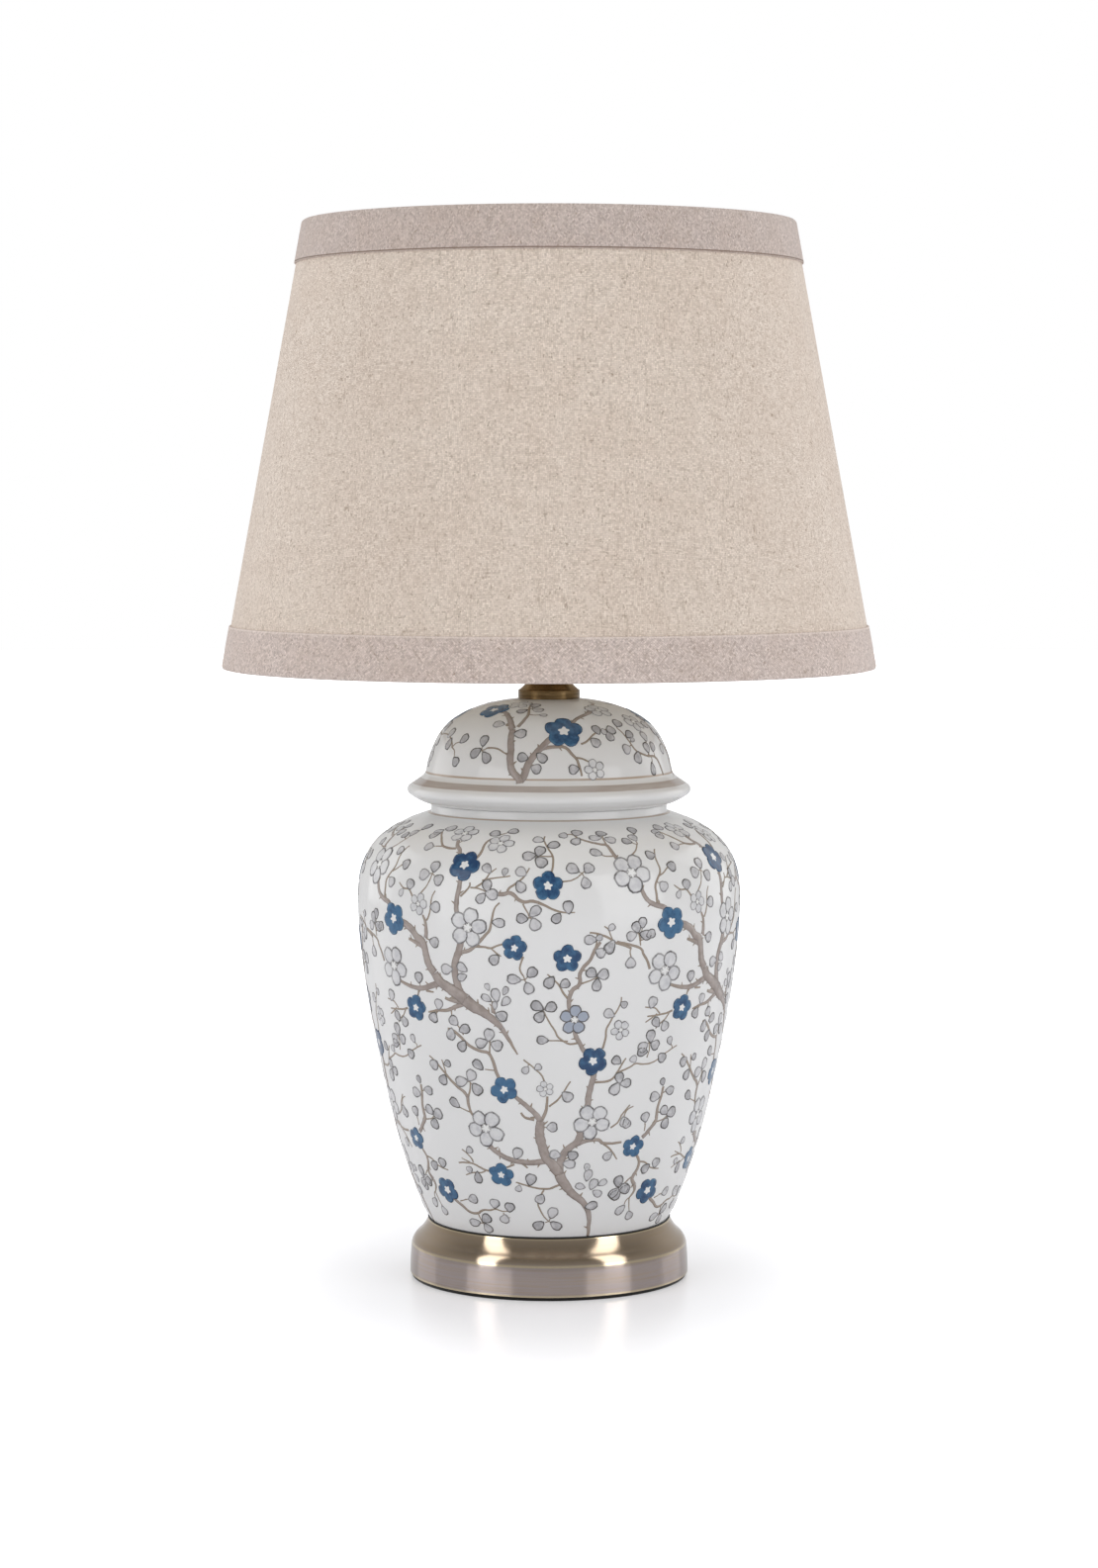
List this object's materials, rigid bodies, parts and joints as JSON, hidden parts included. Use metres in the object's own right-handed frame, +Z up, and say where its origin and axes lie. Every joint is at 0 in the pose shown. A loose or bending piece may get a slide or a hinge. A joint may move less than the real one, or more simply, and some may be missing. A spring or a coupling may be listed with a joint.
{
  "type": "ginger jar table lamp",
  "caption": "Table lamp with a painted ceramic ginger jar body and lid on a metal foot, and a tapered linen drum shade over a screw-in bulb.",
  "frame": {"origin": "centre of the underside of the felt pad, on the table", "axes": "+Z up along the lamp's axis, +X to the viewer's right where the switch knob points, +Y away from the viewer, where the cord outlet is"},
  "size_m": [0.3811, 0.381, 0.6163],
  "materials": {
    "felt": "dense black felt",
    "foot_metal": "brushed antique brass with turned lines, lacquered",
    "cap_metal": "dark antique brass, satin",
    "rubber": "black rubber",
    "plated_steel": "zinc plated steel",
    "glazed_ware": "warm white glossy glaze with a painted plum branch",
    "white_ceramic": "unglazed white steatite",
    "contact_brass": "bright brass",
    "dark_moulding": "dark brown moulded resin",
    "knob_plastic": "black moulded plastic",
    "opal_glass": "opal white glass",
    "cap_aluminium": "rolled bright aluminium",
    "black_glass": "black fused glass",
    "solder": "dull solder",
    "linen": "natural linen weave laminated on white film",
    "linen_trim": "bias-cut linen tape",
    "white_wire": "white powder coat"
  },
  "bodies": {
    "lamp_body": {"base_pad": "felt", "base_shell": "foot_metal", "cord_bush": "rubber", "foot_gasket": "rubber", "clamp_washer": "plated_steel", "lock_washer": "plated_steel", "bottom_nut": "plated_steel", "threaded_rod": "plated_steel", "top_nut": "plated_steel", "jar": "glazed_ware", "lid": "glazed_ware", "vase_cap": "cap_metal", "lampholder_cap": "cap_metal", "lampholder_shell": "cap_metal", "lampholder_insulator": "white_ceramic", "screw_shell": "contact_brass", "centre_contact": "contact_brass", "switch_block": "dark_moulding"},
    "switch": {"switch_shaft": "plated_steel", "switch_knob": "knob_plastic"},
    "bulb_lift": {"bulb_contact": "solder"},
    "bulb": {"bulb_glass": "opal_glass", "bulb_cap": "cap_aluminium", "bulb_insulator": "black_glass"},
    "ring_lift": {"ring_washer": "white_wire"},
    "clamp_ring": {"shade_ring": "dark_moulding"},
    "shade": {"shade_skin": "linen", "shade_top_trim": "linen_trim", "shade_bottom_trim": "linen_trim", "shade_top_wire": "white_wire", "shade_bottom_wire": "white_wire", "shade_carrier": "white_wire", "shade_spokes": "white_wire"}
  },
  "joints": [
    {"name": "knob_turn", "type": "hinge", "parent": "lamp_body", "child": "switch", "pos_m": [0.026, 0, 0.372], "axis": [1, 0, 0], "continuous": true},
    {"name": "bulb_rise", "type": "slide", "parent": "lamp_body", "child": "bulb_lift", "axis": [0, 0, 1], "range_m": [0, 0.01811]},
    {"name": "bulb_turn", "type": "hinge", "parent": "bulb_lift", "child": "bulb", "pos_m": [0, 0, 0.395], "axis": [0, 0, 1], "range_deg": [0, 1800]},
    {"name": "ring_rise", "type": "slide", "parent": "lamp_body", "child": "ring_lift", "axis": [0, 0, 1], "range_m": [0, 0.01801]},
    {"name": "ring_turn", "type": "hinge", "parent": "ring_lift", "child": "clamp_ring", "pos_m": [0, 0, 0.388], "axis": [0, 0, 1], "range_deg": [0, 2160]},
    {"name": "shade_turn", "type": "hinge", "parent": "lamp_body", "child": "shade", "pos_m": [0, 0, 0.385], "axis": [0, 0, 1], "continuous": true}
  ],
  "couplings": [
    {"joint": "bulb_rise", "follows": "bulb_turn", "m_per_rad": 0.00057614},
    {"joint": "ring_rise", "follows": "ring_turn", "m_per_rad": 0.00047746}
  ]
}
